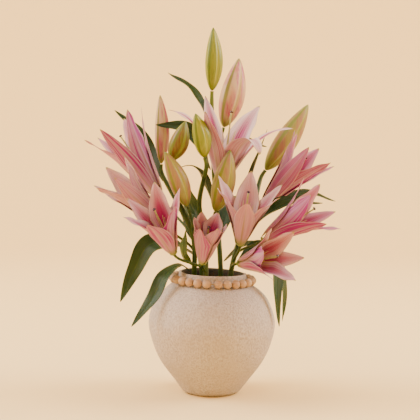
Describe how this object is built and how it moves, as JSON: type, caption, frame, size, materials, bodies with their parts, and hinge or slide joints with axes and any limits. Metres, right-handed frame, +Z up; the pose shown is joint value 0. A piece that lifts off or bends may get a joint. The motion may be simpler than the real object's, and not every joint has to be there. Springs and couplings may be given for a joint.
{
  "type": "lilies in a vase",
  "caption": "Pink lilies and buds with long green leaves, standing in a round matt cream ceramic vase with a string of wooden beads round its neck.",
  "frame": {"origin": "middle of the vase's flat base, on the surface it stands on", "axes": "+Z up along the vase's axis, -Y towards the front of the bouquet, +X to its right"},
  "size_m": [0.4027, 0.2772, 0.579],
  "materials": {
    "vase_body": "rough sandy matt cream glaze-free surface",
    "wooden_beads": "pale natural wood, smooth and unvarnished, on a thin cord",
    "stem": "fresh green, satin",
    "leaf": "dark green with long parallel veins, satin",
    "outer_tepals": "pink with a pale edge and a green-yellow midrib outside, satin",
    "inner_tepals": "pale pink to white with a magenta centre, satin",
    "pistil_and_stamens": "yellow-green with a dark purple stigma",
    "green_bud": "yellow-green with fine long furrows, satin",
    "pink_bud": "pink and cream stripes with green ribs, satin"
  },
  "bodies": {
    "root": {"vase": "vase_body", "bead_string": "wooden_beads", "left_stem": "stem", "back_left_stem": "stem", "front_stem": "stem", "back_stem": "stem", "right_stem": "stem", "upper_left_lily_outer_tepals": "outer_tepals", "upper_left_lily_inner_tepals": "inner_tepals", "upper_left_lily_pistil_and_stamens": "pistil_and_stamens", "left_lily_outer_tepals": "outer_tepals", "left_lily_inner_tepals": "inner_tepals", "left_lily_pistil_and_stamens": "pistil_and_stamens", "front_left_lily_outer_tepals": "outer_tepals", "front_left_lily_inner_tepals": "inner_tepals", "front_left_lily_pistil_and_stamens": "pistil_and_stamens", "front_lily_outer_tepals": "outer_tepals", "front_lily_inner_tepals": "inner_tepals", "front_lily_pistil_and_stamens": "pistil_and_stamens", "middle_lily_outer_tepals": "outer_tepals", "middle_lily_inner_tepals": "inner_tepals", "middle_lily_pistil_and_stamens": "pistil_and_stamens", "top_lily_outer_tepals": "outer_tepals", "top_lily_inner_tepals": "inner_tepals", "top_lily_pistil_and_stamens": "pistil_and_stamens", "upper_right_lily_outer_tepals": "outer_tepals", "upper_right_lily_inner_tepals": "inner_tepals", "upper_right_lily_pistil_and_stamens": "pistil_and_stamens", "right_lily_outer_tepals": "outer_tepals", "right_lily_inner_tepals": "inner_tepals", "right_lily_pistil_and_stamens": "pistil_and_stamens", "lower_right_lily_outer_tepals": "outer_tepals", "lower_right_lily_inner_tepals": "inner_tepals", "lower_right_lily_pistil_and_stamens": "pistil_and_stamens", "top_bud": "green_bud", "striped_bud": "pink_bud", "slim_bud": "green_bud", "left_bud": "green_bud", "low_left_bud": "green_bud", "middle_bud": "pink_bud", "right_bud": "green_bud", "back_left_bud": "pink_bud", "top_thin_leaf": "leaf", "high_left_leaf": "leaf", "hidden_left_leaf": "leaf", "broad_left_leaf": "leaf", "low_left_leaf": "leaf", "low_right_leaf": "leaf", "back_right_leaf": "leaf", "right_leaf": "leaf", "short_right_leaf": "leaf", "pale_leaf": "leaf", "dark_middle_leaf": "leaf", "dark_right_leaf": "leaf", "arching_leaf": "leaf", "rim_leaf": "leaf", "high_right_leaf": "leaf", "back_leaf": "leaf", "back_left_leaf": "leaf"}
  },
  "joints": []
}
